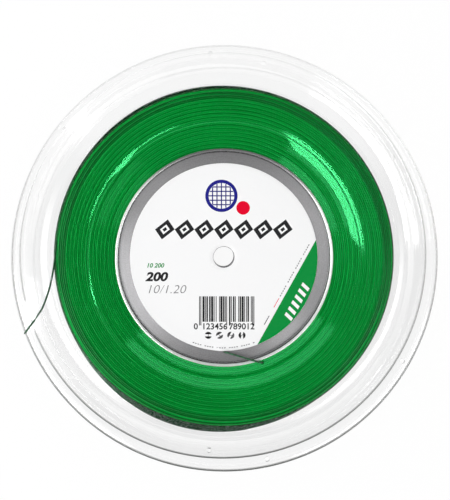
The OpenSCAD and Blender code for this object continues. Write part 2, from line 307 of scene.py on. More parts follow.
def build_turns_tree(tree):
    """Circles of string, one for each turn, each with its own slow wander and sink, made into tubes."""
    given = tree.nodes.new("NodeGroupInput").outputs
    made = tree.nodes.new("NodeGroupOutput").inputs

    def lobe(angle, middle, sharp):
        """1 at the middle angle, in degrees, falling to 0 round it."""
        aside = calc(tree, "SUBTRACT", angle, math.radians(middle))
        return calc(tree, "POWER", calc(tree, "MAXIMUM", calc(tree, "COSINE", aside), 0.0), sharp)

    turn = add(tree, "GeometryNodeInputIndex").outputs[0]
    narrow = calc(tree, "MAXIMUM", calc(tree, "SUBTRACT", turn, given["Narrow From"]), 0.0)
    height = calc(tree, "MULTIPLY_ADD", turn, given["Height Step"], given["First Height"])
    height = calc(tree, "SUBTRACT", height, calc(tree, "MULTIPLY", narrow, given["Narrow Step"]))
    height = calc(tree, "MULTIPLY_ADD", height, given["Side"], MIDDLE)
    radius = calc(tree, "MULTIPLY_ADD", turn, given["Radius Step"], given["First Radius"])
    centre = add(tree, "ShaderNodeCombineXYZ", {"Z": height}).outputs[0]
    points = add(tree, "GeometryNodePoints", {"Count": given["Turns"], "Position": centre})
    circle = add(tree, "GeometryNodeCurvePrimitiveCircle", {"Resolution": given["Segments"], "Radius": 1.0})
    scale = add(tree, "ShaderNodeCombineXYZ", {"X": radius, "Y": radius, "Z": 1.0}).outputs[0]
    placed = add(tree, "GeometryNodeInstanceOnPoints", {
        "Points": points.outputs[0], "Instance": circle.outputs[0], "Scale": scale,
    })
    numbered = calc(tree, "ADD", turn, given["First Number"])
    named = add(tree, "GeometryNodeStoreNamedAttribute", {
        "Geometry": placed.outputs[0], "Name": "turn", "Value": numbered,
    }, data_type="FLOAT", domain="INSTANCE")
    circles = add(tree, "GeometryNodeRealizeInstances", {"Geometry": named.outputs[0]})
    number = add(tree, "GeometryNodeInputNamedAttribute", {"Name": "turn"}, data_type="FLOAT").outputs[0]
    here = add(tree, "GeometryNodeInputPosition").outputs[0]
    outward = from_axis(tree, here)[1]
    strand = calc(tree, "MULTIPLY_ADD", number, 0.37, given["Seed"])
    shift = add(tree, "ShaderNodeCombineXYZ", {"Z": strand}).outputs[0]
    spot = add(tree, "ShaderNodeVectorMath", {0: outward, 1: shift}, operation="ADD").outputs[0]
    sway = add(tree, "ShaderNodeTexNoise", {"Vector": spot, "Scale": 1.6, "Detail": 1.0}).outputs["Fac"]
    dip = add(tree, "ShaderNodeTexNoise", {"Vector": spot, "Scale": 2.7, "Detail": 0.0}).outputs["Fac"]
    # Every second turn lies deeper, and half a turn of the reel later the others do
    axes = add(tree, "ShaderNodeSeparateXYZ", {0: outward}).outputs
    angle = calc(tree, "ARCTAN2", axes[1], axes[0])
    phase = calc(tree, "MULTIPLY_ADD", number, math.pi, angle)
    phase = calc(tree, "ADD", phase, calc(tree, "MULTIPLY", sway, 2.5))
    paired = calc(tree, "MULTIPLY_ADD", calc(tree, "COSINE", phase), -0.5, 0.5)
    pair_sink = calc(tree, "MULTIPLY", paired, given["Pair Sink"])
    deep = calc(tree, "MULTIPLY_ADD", dip, given["Sink"], pair_sink)
    whole_mm = calc(tree, "MINIMUM", calc(tree, "MULTIPLY", given["Pair Sink"], 1 / MM), 1.0)
    share = calc(tree, "MULTIPLY", paired, whole_mm)
    marked = add(tree, "GeometryNodeStoreNamedAttribute", {
        "Geometry": circles.outputs[0], "Name": "depth", "Value": share,
    }, data_type="FLOAT", domain="POINT")
    dip = calc(tree, "MULTIPLY", deep, calc(tree, "MULTIPLY", given["Side"], -1.0))
    wander = calc(tree, "MULTIPLY", given["Wander"], 2.0)
    sway = calc(tree, "MULTIPLY", calc(tree, "SUBTRACT", sway, 0.5), wander)
    # The last turns lie a little loose. They stand off, the most at the top, and sag at the bottom, each
    # turn further than the one before
    stand_off = calc(tree, "MULTIPLY_ADD", lobe(angle, 108, 4.0), 0.9, 0.55)
    order = calc(tree, "SUBTRACT", number, given["First Number"])
    order = calc(tree, "DIVIDE", calc(tree, "ADD", order, 0.4), given["Turns"])
    sagging = calc(tree, "MULTIPLY", lobe(angle, -102, 3.2), order)
    sway = calc(tree, "MULTIPLY_ADD", stand_off, given["Loose"], sway)
    sway = calc(tree, "MULTIPLY_ADD", sagging, given["Sag"], sway)
    across = add(tree, "ShaderNodeVectorMath", {0: outward, "Scale": sway}, operation="SCALE").outputs[0]
    down = add(tree, "ShaderNodeCombineXYZ", {"Z": dip}).outputs[0]
    offset = add(tree, "ShaderNodeVectorMath", {0: across, 1: down}, operation="ADD").outputs[0]
    moved = add(tree, "GeometryNodeSetPosition", {"Geometry": marked.outputs[0], "Offset": offset})
    profile = add(tree, "GeometryNodeCurvePrimitiveCircle", {
        "Resolution": given["Sides"], "Radius": given["String Radius"],
    })
    tubes = add(tree, "GeometryNodeCurveToMesh", {
        "Curve": moved.outputs[0], "Profile Curve": profile.outputs[0],
    })
    whole = add(tree, "GeometryNodeRealizeInstances", {"Geometry": tubes.outputs[0]})
    coloured = add(tree, "GeometryNodeSetMaterial", {
        "Geometry": whole.outputs[0], "Material": given["Material"],
    })
    tree.links.new(coloured.outputs[0], made["Geometry"])


build_turns_tree(turns_tree)

# The same green string, dry and dense where it lies in the winding. Its tone changes from turn to turn
string_material, tree, shader = new_material(
    "wound_string", Roughness=0.3, IOR=1.5, Specular_IOR_Level=0.5, Specular_Tint=(0.08, 1.0, 0.35, 1),
)
number = add(tree, "ShaderNodeAttribute", attribute_name="turn").outputs["Fac"]
depth = add(tree, "ShaderNodeAttribute", attribute_name="depth").outputs["Fac"]
place = add(tree, "ShaderNodeTexCoord").outputs["Object"]
strand = add(tree, "ShaderNodeTexWhiteNoise", {"W": number}, noise_dimensions="1D").outputs["Value"]
drift = add(tree, "ShaderNodeTexNoise", {"Vector": place, "Scale": 22.0, "Detail": 2.0}).outputs["Fac"]
speck = add(tree, "ShaderNodeTexNoise", {"Vector": place, "Scale": 1600.0, "Detail": 2.0}).outputs["Fac"]
tone = calc(tree, "MULTIPLY_ADD", strand, 0.3, 0.45)
tone = calc(tree, "MULTIPLY_ADD", drift, 0.4, tone)
# Turns that lie deeper are painted darker: painted shade
tone = calc(tree, "MULTIPLY_ADD", depth, -0.9, tone, use_clamp=True)
wound_colour = colour_mix(tree, tone, (0.0006, 0.192, 0.0165, 1), (0.0028, 0.44, 0.056, 1))
fleck_tone = calc(tree, "MULTIPLY", speck, 0.3)
wound_colour = colour_mix(tree, fleck_tone, wound_colour, (0.001, 0.35, 0.037, 1))
# The outer turns, which lie deeper, are painted darker as shade, and the loose last ones are painted nearly
# black as shade, with pale flecks painted on as glints
painted_shade_outer = ramp(tree, number, 24.6, 26.8, 0.0, 0.7)
wound_colour = colour_mix(tree, painted_shade_outer, wound_colour, (0.006, 0.05, 0.01, 1))
pale = ramp(tree, speck, 0.52, 0.58, soft=False)
shade_and_glint_colour = colour_mix(tree, pale, (0.003, 0.005, 0.004, 1), (0.22, 0.22, 0.225, 1))
painted_shade_last = ramp(tree, number, 30.4, 32.0, 0.0, 0.93, soft=False)
wound_colour = colour_mix(tree, painted_shade_last, wound_colour, shade_and_glint_colour)
tree.links.new(wound_colour, shader.inputs["Base Color"])


def turned(tree, name, **inputs):
    """The turns that a tree makes with these inputs, as a plain mesh."""
    holder = bpy.data.objects.new(name, bpy.data.meshes.new(name))
    scene.collection.objects.link(holder)
    modifier = holder.modifiers.new("turns", "NODES")
    modifier.node_group = tree
    for item in tree.interface.items_tree:
        key = item.name.replace(" ", "_")
        if item.item_type == "SOCKET" and item.in_out == "INPUT" and key in inputs:
            modifier[item.identifier] = inputs[key]
    bpy.context.view_layer.update()
    mesh = bpy.data.meshes.new_from_object(holder.evaluated_get(bpy.context.evaluated_depsgraph_get()))
    holder.modifiers.clear()
    bpy.data.objects.remove(holder)
    mesh.name = name
    return mesh


for name, inputs in (
    ("end_turns_front", {"Seed": 3.0}),
    ("end_turns_rear", {"Seed": 40.0, "Side": -1.0}),
    ("last_layer", {
        "Turns": LAST_TURNS - 2, "First_Radius": LAST_R, "Radius_Step": 0.0, "Narrow_From": LAYERS,
        "First_Height": (LAST_TURNS - 3) * STRING_R, "Height_Step": -2 * STRING_R, "Wander": 0.0,
        "Sink": 0.1 * MM, "Pair_Sink": 0.0, "Seed": 80.0, "First_Number": LAYERS, "Loose": LOOSE, "Sag": SAG,
    }),
):
    turns = new_object(name, turned(turns_tree, name, Material=string_material, **inputs))


def lathe(name, outline, segments):
    """A closed outline of (radius, height) pairs turned round the reel's axis. It runs anticlockwise."""
    bm = bmesh.new()
    rings = []
    for i in range(segments):
        a = 2 * math.pi * i / segments
        rings.append([bm.verts.new((r * math.cos(a), r * math.sin(a), z)) for r, z in outline])
    count = len(outline)
    for i in range(segments):
        for j in range(count):
            near, far, n = rings[i], rings[(i + 1) % segments], (j + 1) % count
            bm.faces.new((near[j], far[j], far[n], near[n]))
    bmesh.ops.recalc_face_normals(bm, faces=bm.faces)
    mesh = bpy.data.meshes.new(name)
    bm.to_mesh(mesh)
    bm.free()
    return mesh


# Under the turns that show lies a turned body of the winding, in place of the imported one, and it closes the
# grooves between them
full_r = DRUM_R + (2 * FULL_LAYERS - 1) * STRING_R
full_h = END_H - 0.3 * MM
last_h = (LAST_TURNS - 1) * STRING_R
body_outline = [
    (DRUM_R, MIDDLE - full_h), (full_r, MIDDLE - full_h), (LAST_R, MIDDLE - last_h),
    (LAST_R, MIDDLE + last_h), (full_r, MIDDLE + full_h), (DRUM_R, MIDDLE + full_h),
]
body = new_object("winding_body", lathe("winding_body", body_outline, ROUND), string_material)
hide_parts("string_winding")


# ---- Flanges -------------------------------------------------------------------------------------
# Two clear polystyrene mouldings, 1.2 mm thick, polished. From the collar that snaps into the hub each
# runs out over a flat land, a low crown, a gentle dish and a shoulder to a flat band with a bead.
# Heights are over the middle of the reel.
FLANGE_R = 132 * MM
WALL = 1.2 * MM
FACE_H = 8.55 * MM       # outer face of the land
COLLAR_R = 67.0 * MM     # outside of the collar
RECESS_R = 66.0 * MM     # inside of the collar
SEAT_H = 3.0 * MM        # end of the collar, on the hub's seat
MOUTH_R = 2.2 * MM       # rounding of the recess' mouth
LAND_R = 73.4 * MM       # outside of the land
CROWN_R = 88.0 * MM      # outside of the crown
CROWN_RISE = 0.2 * MM
CROWN_SHAPE = [(0, 0), (0.15, 0.7), (0.35, 0.95), (0.55, 1), (0.75, 0.8), (0.9, 0.4), (0.97, 0.1), (1, 0)]
SAUCER = (108.5 * MM, FACE_H + 1.8 * MM)           # outer ends of the saucer, the dish and the step
DISH = (114.2 * MM, 12.3 * MM)
BAND = (118.0 * MM, 14.5 * MM)
BEAD_R = 129.6 * MM      # inside of the bead
BEAD_T = 2.4 * MM
BEAD_ROUND = 1.0 * MM
SNAP_R = 0.4 * MM        # the snap bead on the collar
SNAP_H = 5.175 * MM
LEAD_IN = 0.5 * MM
EASE = 0.6 * MM          # how far along each run a bend between two runs is rounded
FLANGE_ROUND = 256       # straight runs in a full turn


def arc(centre, radius, start, end, steps=8):
    """Points on an arc, its angles in degrees."""
    return [
        (centre[0] + radius * math.cos(math.radians(a)), centre[1] + radius * math.sin(math.radians(a)))
        for a in np.linspace(start, end, steps + 1)
    ]


def eased(before, corner, after, ease=EASE, steps=6):
    """A soft bend in place of a corner between two straight runs."""
    before, corner, after = (np.array(p) for p in (before, corner, after))
    a = corner + (before - corner) / np.linalg.norm(before - corner) * ease
    b = corner + (after - corner) / np.linalg.norm(after - corner) * ease
    return [
        tuple((1 - t) ** 2 * a + 2 * t * (1 - t) * corner + t * t * b) for t in np.linspace(0, 1, steps + 1)
    ]


def crown(depth):
    """The crown's profile, that far below the outer face."""
    return [
        (LAND_R + x * (CROWN_R - LAND_R), FACE_H + y * CROWN_RISE - depth) for x, y in smooth(CROWN_SHAPE, 8)
    ]


def shoulder(depth):
    """The profile from the crown over the saucer, the dish and the step to the rim band."""
    saucer, dish, band, end = ((r, h - depth) for r, h in (SAUCER, DISH, BAND, (BEAD_R, BAND[1])))
    return [
        *eased((CROWN_R, FACE_H - depth), saucer, dish), *eased(saucer, dish, band), *eased(dish, band, end),
    ]


def supported(outline, longest=1.2 * MM, reach=0.25 * MM):
    """Puts a point near both ends of every long run, so that the run is shaded flat between them."""
    made = []
    for a, b in zip(outline, outline[1:] + outline[:1]):
        made.append(a)
        length = math.dist(a, b)
        if length > longest:
            for t in (reach / length, 1 - reach / length):
                made.append((a[0] + (b[0] - a[0]) * t, a[1] + (b[1] - a[1]) * t))
    return made


bead_low = MIDDLE - BEAD_T
band_low = BAND[1] - WALL
out_foot, out_top = (BEAD_R - 0.9 * MM, BAND[1]), (BEAD_R + 1.0 * MM, MIDDLE)      # outer slope to the bead
in_foot, in_top = (BEAD_R - 1.4 * MM, band_low), (BEAD_R + 0.4 * MM, bead_low)     # inner slope to the bead
flange_outline = supported([
    (RECESS_R, SEAT_H),
    *arc((RECESS_R + MOUTH_R, FACE_H - MOUTH_R), MOUTH_R, 180, 90),
    *crown(0), *shoulder(0),
    *eased(BAND, out_foot, out_top, 0.7 * MM),
    *eased(out_foot, out_top, (FLANGE_R, MIDDLE), 0.4 * MM),
    *arc((FLANGE_R - BEAD_ROUND, MIDDLE - BEAD_ROUND), BEAD_ROUND, 90, 0),
    *arc((FLANGE_R - BEAD_ROUND, bead_low + BEAD_ROUND), BEAD_ROUND, 0, -90),
    *eased((FLANGE_R, bead_low), in_top, in_foot, 0.5 * MM),
    *eased((BEAD_R, bead_low), in_foot, (BAND[0], band_low), 0.7 * MM),
    *reversed(shoulder(WALL)), *reversed(crown(WALL)),
    (COLLAR_R + LEAD_IN, FACE_H - WALL), (COLLAR_R, FACE_H - WALL - LEAD_IN),
    *arc((COLLAR_R, SNAP_H), SNAP_R, 90, -90),
    (COLLAR_R, SEAT_H),
])
HOLES = [                # radius, angle and width of the holes for the string's ends
    (127.0, -30, 3.0), (127.0, -78, 3.0), (127.0, 141, 3.0), (127.0, 94, 3.0),
    (124.5, 198.3, 3.0), (69.8, -70, 2.4),
]


def drilled(name, outline, holes):
    """A turned flange with round holes through it."""
    blank = bpy.data.objects.new(name, lathe(name, outline, FLANGE_ROUND))
    scene.collection.objects.link(blank)
    bm = bmesh.new()
    for radius, angle, width in holes:
        a = math.radians(angle)
        place = Matrix.Translation((radius * MM * math.cos(a), radius * MM * math.sin(a), MIDDLE))
        bmesh.ops.create_cone(
            bm, cap_ends=True, segments=32, radius1=width * MM / 2, radius2=width * MM / 2,
            depth=2 * MIDDLE, matrix=place,
        )
    drill_mesh = bpy.data.meshes.new("drill")
    bm.to_mesh(drill_mesh)
    bm.free()
    drill = bpy.data.objects.new("drill", drill_mesh)
    scene.collection.objects.link(drill)
    cut = blank.modifiers.new("cut", "BOOLEAN")
    cut.operation = "DIFFERENCE"
    cut.solver = "EXACT"
    cut.object = drill
    bpy.context.view_layer.update()
    mesh = bpy.data.meshes.new_from_object(blank.evaluated_get(bpy.context.evaluated_depsgraph_get()))
    for used in (blank, drill):
        bpy.data.objects.remove(used)
    mesh.name = name
    return mesh


# Clear polystyrene: polished, with a faint flow of the moulding. Lamps shine through it on to what is
# behind, by the transparent side that only shadow rays take.
EDGE_FROM, EDGE_TO = 130.6 * MM, 131.4 * MM        # radius at which the rough, painted dark outer edge begins
EDGE_SHADE_WAY = (0, -1, 0)                              # direction from the axis in which the edge is painted darkest, as shade
OVER_FROM = (67.8 * MM, 68.8 * MM)                 # radii between which the winding begins to show
OVER_TO = (102.6 * MM, 103.6 * MM)                 # and ceases to
clear_material, tree, shader = new_material("clear_polystyrene", Transmission_Weight=1.0, IOR=1.53)
place = add(tree, "ShaderNodeTexCoord").outputs["Object"]
radius, direction = from_axis(tree, place)
flow = add(tree, "ShaderNodeTexNoise", {"Vector": place, "Scale": 12.0, "Detail": 1.0}).outputs["Fac"]
haze = add(tree, "ShaderNodeTexNoise", {"Vector": place, "Scale": 140.0, "Detail": 3.0}).outputs["Fac"]
bump = add(tree, "ShaderNodeBump", {"Height": flow, "Strength": 0.08, "Distance": 0.3 * MM})
tree.links.new(bump.outputs["Normal"], shader.inputs["Normal"])
# Edge on, light goes a long way through the plastic, and its edges are painted grey, partly for that and
# partly as painted shade for the dark outlines of the rims. The outer edge is a little rough and dull, and
# painted darker towards the lower side as shade.
facing = add(tree, "ShaderNodeLayerWeight", {"Blend": 0.5}).outputs["Facing"]
clear_colour = colour_mix(tree, ramp(tree, facing, 0.35, 0.9), (1.0, 1.0, 1.0, 1), (0.3, 0.32, 0.31, 1))
edge_shade_side = ramp(tree, along_way(tree, direction, EDGE_SHADE_WAY), -0.6, 1.0, 0.12, 1.0, soft=False)
rough_shaded_edge = calc(tree, "MULTIPLY", ramp(tree, radius, EDGE_FROM, EDGE_TO), edge_shade_side)
clear_colour = colour_mix(tree, rough_shaded_edge, clear_colour, (0.1, 0.105, 0.1, 1))
tree.links.new(clear_colour, shader.inputs["Base Color"])
rough = calc(tree, "MULTIPLY_ADD", rough_shaded_edge, 0.4, ramp(tree, haze, 0.0, 1.0, 0.0, 0.05, soft=False))
tree.links.new(rough, shader.inputs["Roughness"])
# Over the winding, the plastic's reflections are given a green tint: a painted tint on its reflections
over = calc(tree, "MULTIPLY", ramp(tree, radius, *OVER_FROM), ramp(tree, radius, *OVER_TO, 1.0, 0.0))
tree.links.new(colour_mix(tree, over, (1, 1, 1, 1), (0.12, 1.0, 0.37, 1)), shader.inputs["Specular Tint"])
lets_through = add(tree, "ShaderNodeBsdfTransparent", {"Color": (0.93, 0.94, 0.935, 1)})
path = add(tree, "ShaderNodeLightPath")
mixed = add(tree, "ShaderNodeMixShader", {
    0: path.outputs["Is Shadow Ray"], 1: shader.outputs[0], 2: lets_through.outputs[0],
})
tree.links.new(mixed.outputs[0], tree.nodes["Material Output"].inputs["Surface"])

flange_mesh = drilled("flange", flange_outline, HOLES)
for name, turn in (("front_flange", 0.0), ("rear_flange", math.pi)):
    mesh = flange_mesh.copy()
    mesh.transform(Matrix.Translation((0, 0, MIDDLE)) @ Matrix.Rotation(turn, 4, "X"))
    flange = new_object(name + "_shell", mesh, clear_material)
    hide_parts(name)


# ---- Label ---------------------------------------------------------------------------------------
# A round label of coated paper, glued on the hub's seat, with a punched hole for the spindle. The
# string's inner end is tucked under its edge, and lifts it there.
LABEL_R = 59.2 * MM
LABEL_HOLE_R = 6.8 * MM
LABEL_Z = MIDDLE + SEAT_H
LABEL_T = 0.2 * MM
TUCK = Vector((-1.6, -59.3, 0)) * MM       # where the string's end goes under the edge
TUCK_REACH = 4.2 * MM    # how far the lift spreads
TUCK_LIFT = 1.25 * MM


def label_height(x, y):
    """Height of the label's upper face, with the lift over the string's end."""
    off = (Vector((x, y, 0)) - TUCK).length / TUCK_REACH
    return LABEL_Z + LABEL_T + TUCK_LIFT * math.exp(-((off * 1.5) ** 2))


def label_mesh():
    """A thin disc with rounded edges and enough rings for its lift."""
    bm = bmesh.new()
    edge = 0.06 * MM
    radii = [
        LABEL_HOLE_R, LABEL_HOLE_R + edge, *np.linspace(10 * MM, 52 * MM, 8),
        *np.linspace(53 * MM, LABEL_R - edge, 10), LABEL_R,
    ]
    segments = 240
    loops = []
    for top in (True, False):
        for r in radii if top else reversed(radii):
            rim = r in (radii[0], radii[-1])
            drop = edge * 0.6 if rim else 0.0
            ring = []
            for i in range(segments):
                a = 2 * math.pi * i / segments
                x, y = r * math.cos(a), r * math.sin(a)
                z = label_height(x, y)
                ring.append(bm.verts.new((x, y, z - drop if top else z - LABEL_T + drop)))
            loops.append(ring)
    for ring, nxt in zip(loops, loops[1:] + loops[:1]):
        for i in range(segments):
            j = (i + 1) % segments
            bm.faces.new((ring[i], nxt[i], nxt[j], ring[j]))
    bmesh.ops.recalc_face_normals(bm, faces=bm.faces)
    mesh = bpy.data.meshes.new("label")
    bm.to_mesh(mesh)
    bm.free()
    return mesh


paper_material, tree, shader = new_material("coated_paper", Roughness=0.5, Specular_IOR_Level=0.2)
place = add(tree, "ShaderNodeTexCoord").outputs["Object"]
fibre = add(tree, "ShaderNodeTexNoise", {"Vector": place, "Scale": 700.0, "Detail": 4.0}).outputs["Fac"]
cloud = add(tree, "ShaderNodeTexNoise", {"Vector": place, "Scale": 25.0, "Detail": 2.0}).outputs["Fac"]
paper_tone = calc(tree, "MULTIPLY", fibre, cloud)
paper_colour = colour_mix(tree, paper_tone, (0.94, 0.94, 0.945, 1), (0.985, 0.985, 0.985, 1))
tree.links.new(paper_colour, shader.inputs["Base Color"])
bump = add(tree, "ShaderNodeBump", {"Height": fibre, "Strength": 0.08, "Distance": 0.02 * MM})
tree.links.new(bump.outputs["Normal"], shader.inputs["Normal"])
label = new_object("label_disc", label_mesh(), paper_material)
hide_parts("front_label")


# ---- Print on the label --------------------------------------------------------------------------
# Screen printed inks, each a thin film on the paper and one piece: a green field at the lower right with
# white strokes, a bar field with figures, a frieze, an emblem, and fine rules and signs. Sizes and
# places are in millimetres from the spindle, as they are on the artwork.
INK_T = 0.02 * MM        # thickness of a film
INK_GAP = 0.004 * MM     # a film's underside over the paper


def ink_material(name, colour, fade):
    """An ink whose film is a little uneven."""
    material, tree, shader = new_material(name, Roughness=0.5, Specular_IOR_Level=0.06)
    place = add(tree, "ShaderNodeTexCoord").outputs["Object"]
    film = add(tree, "ShaderNodeTexNoise", {"Vector": place, "Scale": 500.0, "Detail": 3.0}).outputs["Fac"]
    thin = tuple(c + (1 - c) * fade for c in colour)
    tree.links.new(colour_mix(tree, film, (*colour, 1), (*thin, 1)), shader.inputs["Base Color"])
    return material


def rectangle(x, y, width, height, lean=0.0, turn=0.0):
    """A bar by its middle and size, leaning like italics and turned about its middle."""
    across, up = width / 2, height / 2
    leant = [(u + v * lean, v) for u, v in ((-across, -up), (across, -up), (across, up), (-across, up))]
    c, s = math.cos(math.radians(turn)), math.sin(math.radians(turn))
    return [(x + u * c - v * s, y + u * s + v * c) for u, v in leant]


def round_run(x, y, radius, start, end, count):
    """Points on a circle, from one angle to another."""
    angles = np.radians(np.linspace(start, end, count))
    return [(x + radius * math.cos(a), y + radius * math.sin(a)) for a in angles]


def ring_part(x, y, inner, outer, start, end, count=24):
    """Part of a ring between two angles."""
    return round_run(x, y, outer, start, end, count) + round_run(x, y, inner, end, start, count)


def figures(bm, text, size, x, y, lean=0.0, weight=0.0, wide=1.0):
    """Adds plain figures to a mesh, from their lower left corner."""
    curve = bpy.data.curves.new("figures", "FONT")
    curve.body = text
    curve.size = size
    curve.shear = lean
    curve.offset = weight
    curve.resolution_u = 4
    holder = bpy.data.objects.new("figures", curve)
    scene.collection.objects.link(holder)
    bpy.context.view_layer.update()
    mesh = bpy.data.meshes.new_from_object(holder.evaluated_get(bpy.context.evaluated_depsgraph_get()))
    mesh.transform(Matrix.Scale(MM, 4) @ Matrix.Translation((x, y, 0)) @ Matrix.Diagonal((wide, 1, 1, 1)))
    bm.from_mesh(mesh)
    bpy.data.objects.remove(holder)
    bpy.data.meshes.remove(mesh)


def print_film(name, material, shapes, texts=(), joined=False):
    """One ink: closed films on the label, from flat outlines and from figures. Joined outlines that
    share their corners make one film."""
    bm = bmesh.new()
    for shape in shapes:
        bm.faces.new([bm.verts.new((x * MM, y * MM, 0)) for x, y in shape])
    if joined:
        bmesh.ops.remove_doubles(bm, verts=bm.verts, dist=INK_GAP)
    bmesh.ops.triangulate(bm, faces=bm.faces[:], ngon_method="EAR_CLIP")
    for text in texts:
        figures(bm, *text)
    bmesh.ops.recalc_face_normals(bm, faces=bm.faces)
    for face in bm.faces:
        if face.normal.z < 0:
            face.normal_flip()
    made = bmesh.ops.extrude_face_region(bm, geom=bm.faces[:])
    raised = {v for v in made["geom"] if isinstance(v, bmesh.types.BMVert)}
    for v in bm.verts:
        v.co.z = label_height(v.co.x, v.co.y) + (INK_T if v in raised else INK_GAP)
    bmesh.ops.recalc_face_normals(bm, faces=bm.faces)
    mesh = bpy.data.meshes.new(name)
    bm.to_mesh(mesh)
    bm.free()
    film = new_object(name, mesh, material)
    return film


# The green field is the part of the disc beyond a slanting chord. Small green figures stand at the left
FIELD_R = 59.15
CHORD_LOW, CHORD_HIGH = (21.2, -55.6), (59.2, 10.8)
field = round_run(
    0, 0, FIELD_R, -math.degrees(math.acos(CHORD_LOW[0] / FIELD_R)),
    math.degrees(math.asin(CHORD_HIGH[1] / FIELD_R)), 60,
)
print_film("print_green", ink_material("green_ink", (0.0, 0.27, 0.045), 0.01), [field], [
    ("10 200", 3.8, -49.0, -6.6, 0.25, 0.1, 1.05),
])

# White strokes on the green field, in a row along its chord
STROKES = 6
STROKES_X, STROKES_Y, STROKE_STEP = 46.2, -28.2, 4.3
STROKE_W, STROKE_H, STROKE_LEAN = 2.2, 5.6, 0.25
slant = math.atan2(field[-1][1] - field[0][1], field[-1][0] - field[0][0])
along = (math.cos(slant), math.sin(slant))
strokes = []
for i in range(STROKES):
    step = (i - (STROKES - 1) / 2) * STROKE_STEP
    x, y = STROKES_X + step * along[0], STROKES_Y + step * along[1]
    strokes.append(rectangle(x, y, STROKE_W, STROKE_H, STROKE_LEAN, math.degrees(slant)))
white = print_film("print_white", ink_material("white_ink", (0.95, 0.95, 0.95), 0.02), strokes)
white.data.transform(Matrix.Translation((0, 0, INK_T)))      # it lies on the green ink

# A bar field: bars and gaps of one to four units, with long guard bars
BAR_UNIT = 0.418
BAR_SPREAD = 0.12        # how far the ink spreads past a bar's sides, in all
BAR_LEFT, BAR_TOP, BAR_FOOT, GUARD_FOOT = -15.5, -24.8, -40.9, -43.2
GUARDS = (0, 2, 26, 28, 50, 52)
BAR_WIDTHS = (
    1, 1, 1, 2, 3, 1, 1, 1, 2, 2, 2, 1, 3, 1, 1, 2, 1, 4, 1, 1, 3, 1, 2, 1, 1, 1,
    1, 3, 2, 1, 1, 2, 2, 1, 1, 4, 1, 1, 2, 1, 3, 1, 1, 2, 1, 1, 2, 3, 1, 1, 1, 1, 1,
)
bars = []
x = BAR_LEFT
for i, units in enumerate(BAR_WIDTHS):
    width = units * BAR_UNIT
    if i % 2 == 0:
        foot = GUARD_FOOT if i in GUARDS else BAR_FOOT
        bars.append(rectangle(x + width / 2, (foot + BAR_TOP) / 2, width + BAR_SPREAD, BAR_TOP - foot))
    x += width


def lozenge(x, y, width, height, band, lean):
    """A leaning open lozenge, as four bands that meet at its corners."""
    across, up = width / 2, height / 2
    bands = []
    for h, v in ((-1, 1), (1, 1), (1, -1), (-1, -1)):
        corners = [(h * across, 0), (0, v * up), (0, v * (up - band * up / across)), (h * (across - band), 0)]
        bands.append([(x + p + q * lean, y + q) for p, q in corners])
    return bands


# The frieze is a chain of open lozenges, each with a small solid one inside
FRIEZE_Y = 17.4
LINKS = 7
LINK_W, LINK_H, LINK_BAND, LINK_LEAN = 12.4, 12.6, 3.1, 0.3
CORE_W, CORE_H, CORE_SHIFT = 3.0, 3.0, 0.45
frieze = []
for i in range(LINKS):
    x = (i - (LINKS - 1) / 2) * LINK_W
    frieze.extend(lozenge(x, FRIEZE_Y, LINK_W, LINK_H, LINK_BAND, LINK_LEAN))
    frieze.append([
        (x - CORE_W / 2, FRIEZE_Y), (x - CORE_SHIFT, FRIEZE_Y - CORE_H / 2),
        (x + CORE_W / 2, FRIEZE_Y), (x + CORE_SHIFT, FRIEZE_Y + CORE_H / 2),
    ])

BESIDE = 2.55            # distance of the fine rules and dashes from the green field


def beside_chord(run, length, thickness):
    """A rule beside the green field, its middle that far along the chord from the lower end."""
    x = CHORD_LOW[0] + run * along[0] - BESIDE * along[1]
    y = CHORD_LOW[1] + run * along[1] + BESIDE * along[0]
    return rectangle(x, y, length, thickness, 0, math.degrees(slant))


black_ink = ink_material("black_ink", (0.012, 0.012, 0.014), 0.02)
print_film("print_black", black_ink, [*bars, *frieze, beside_chord(16.6, 6.4, 0.45)], [
    ("200", 7.6, -49.4, -15.0, 0.22, 0.3, 1.18),
    ("0", 5.4, -19.0, -45.6, 0.0, 0.1),
    ("123456", 5.4, -13.9, -45.6, 0.0, 0.1),
    ("789012", 5.4, 3.2, -45.6, 0.0, 0.1),
])

# Grey marks: a thin size figure, a row of four plain signs, and dashes round the foot and by the chord
SIGN_X, SIGN_Y, SIGN_STEP = -9.8, -49.4, 7.1
SIGN_IN, SIGN_OUT = 1.95, 2.25
FOOT_IN, FOOT_OUT = 57.0, 57.55
FOOT_FROM, FOOT_STEP = -110, 1.55                  # in degrees
DASH_FROM, DASH_STEP = 34.4, 1.66
signs = []
for i in range(4):
    x = SIGN_X + i * SIGN_STEP
    for start in (20 + 30 * i, 200 + 30 * i):
        signs.append(ring_part(x, SIGN_Y, SIGN_IN, SIGN_OUT, start, start + 140))
    signs.append(rectangle(x, SIGN_Y, 0.4, 1.9, 0, 45 * i))
foot_angles = [FOOT_FROM + i * FOOT_STEP for i in range(26) if i % 5 != 4]
foot_dashes = [ring_part(0, 0, FOOT_IN, FOOT_OUT, a, a + 1.0, 4) for a in foot_angles]
chord_dashes = [beside_chord(DASH_FROM + i * DASH_STEP, 1.0, 0.6) for i in range(24) if i % 6 != 5]
grey_ink = ink_material("grey_ink", (0.15, 0.15, 0.155), 0.1)
print_film("print_grey", grey_ink, [*signs, *foot_dashes, *chord_dashes], [
    ("10/1.20", 7.6, -49.2, -22.9, 0.25, -0.1, 1.1),
])

